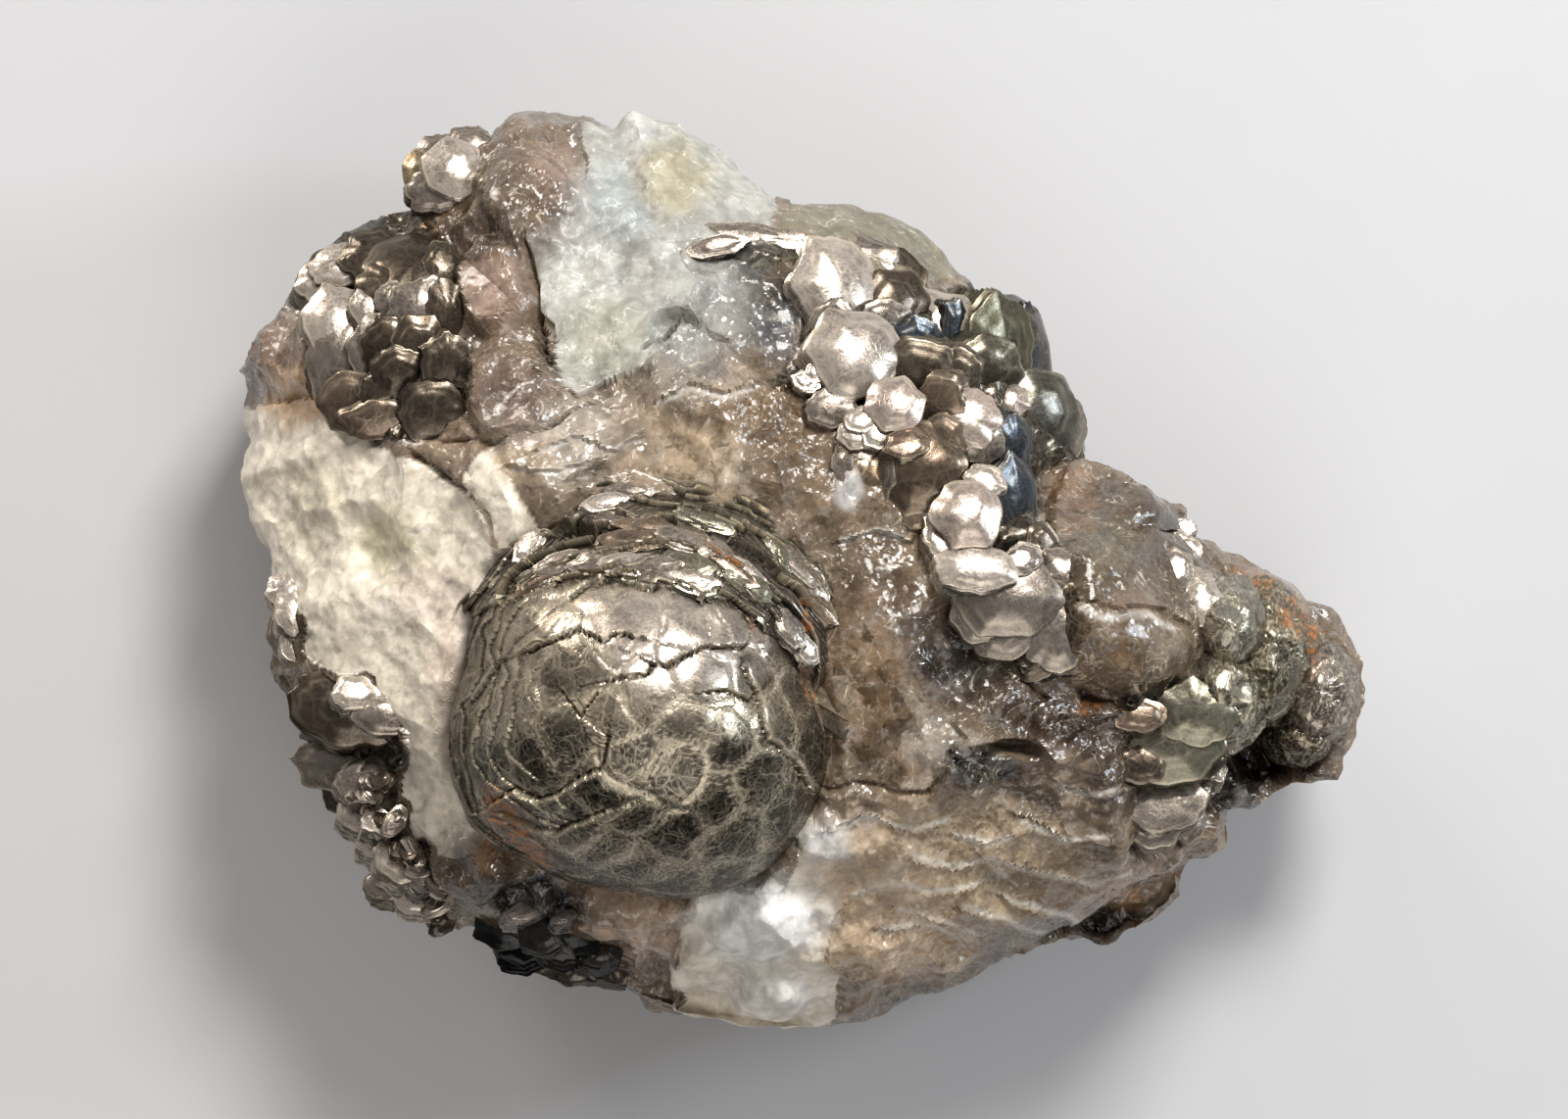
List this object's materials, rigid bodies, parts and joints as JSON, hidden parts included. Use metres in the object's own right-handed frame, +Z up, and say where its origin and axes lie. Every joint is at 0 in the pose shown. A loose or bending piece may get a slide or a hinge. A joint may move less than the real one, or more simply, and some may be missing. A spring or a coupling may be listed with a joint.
{
  "type": "muscovite specimen",
  "caption": "Hand-sized mineral specimen: a large ball and clusters of curved muscovite mica plates grown on massive smoky quartz with white albite.",
  "frame": {"origin": "on the surface it rests on, under the middle of the specimen's bounding box", "axes": "+X towards the tapering end, +Y towards the white albite crest, +Z up out of the best face; the specimen lies on its flat broken back"},
  "size_m": [0.115, 0.0946, 0.062],
  "materials": {
    "smoky_quartz": "broken massive smoky quartz, milky brown-grey, vitreous",
    "white_albite": "massive white albite, dull to sugary",
    "muscovite": "curved muscovite plates, silvery pearly shine over olive-grey",
    "dark_muscovite": "dark muscovite plates, glossy"
  },
  "bodies": {
    "root": {"smoky_quartz": "smoky_quartz", "albite_left": "white_albite", "albite_top": "white_albite", "albite_ridge": "white_albite", "albite_foot": "white_albite", "muscovite_ball": "muscovite", "muscovite_ridge": "muscovite", "muscovite_corner": "muscovite", "muscovite_end_ball": "muscovite", "muscovite_tip_ball": "muscovite", "muscovite_knob": "muscovite", "muscovite_side_flakes": "muscovite", "muscovite_side_book": "muscovite", "muscovite_right_plates": "muscovite", "muscovite_foot": "dark_muscovite"}
  },
  "joints": []
}
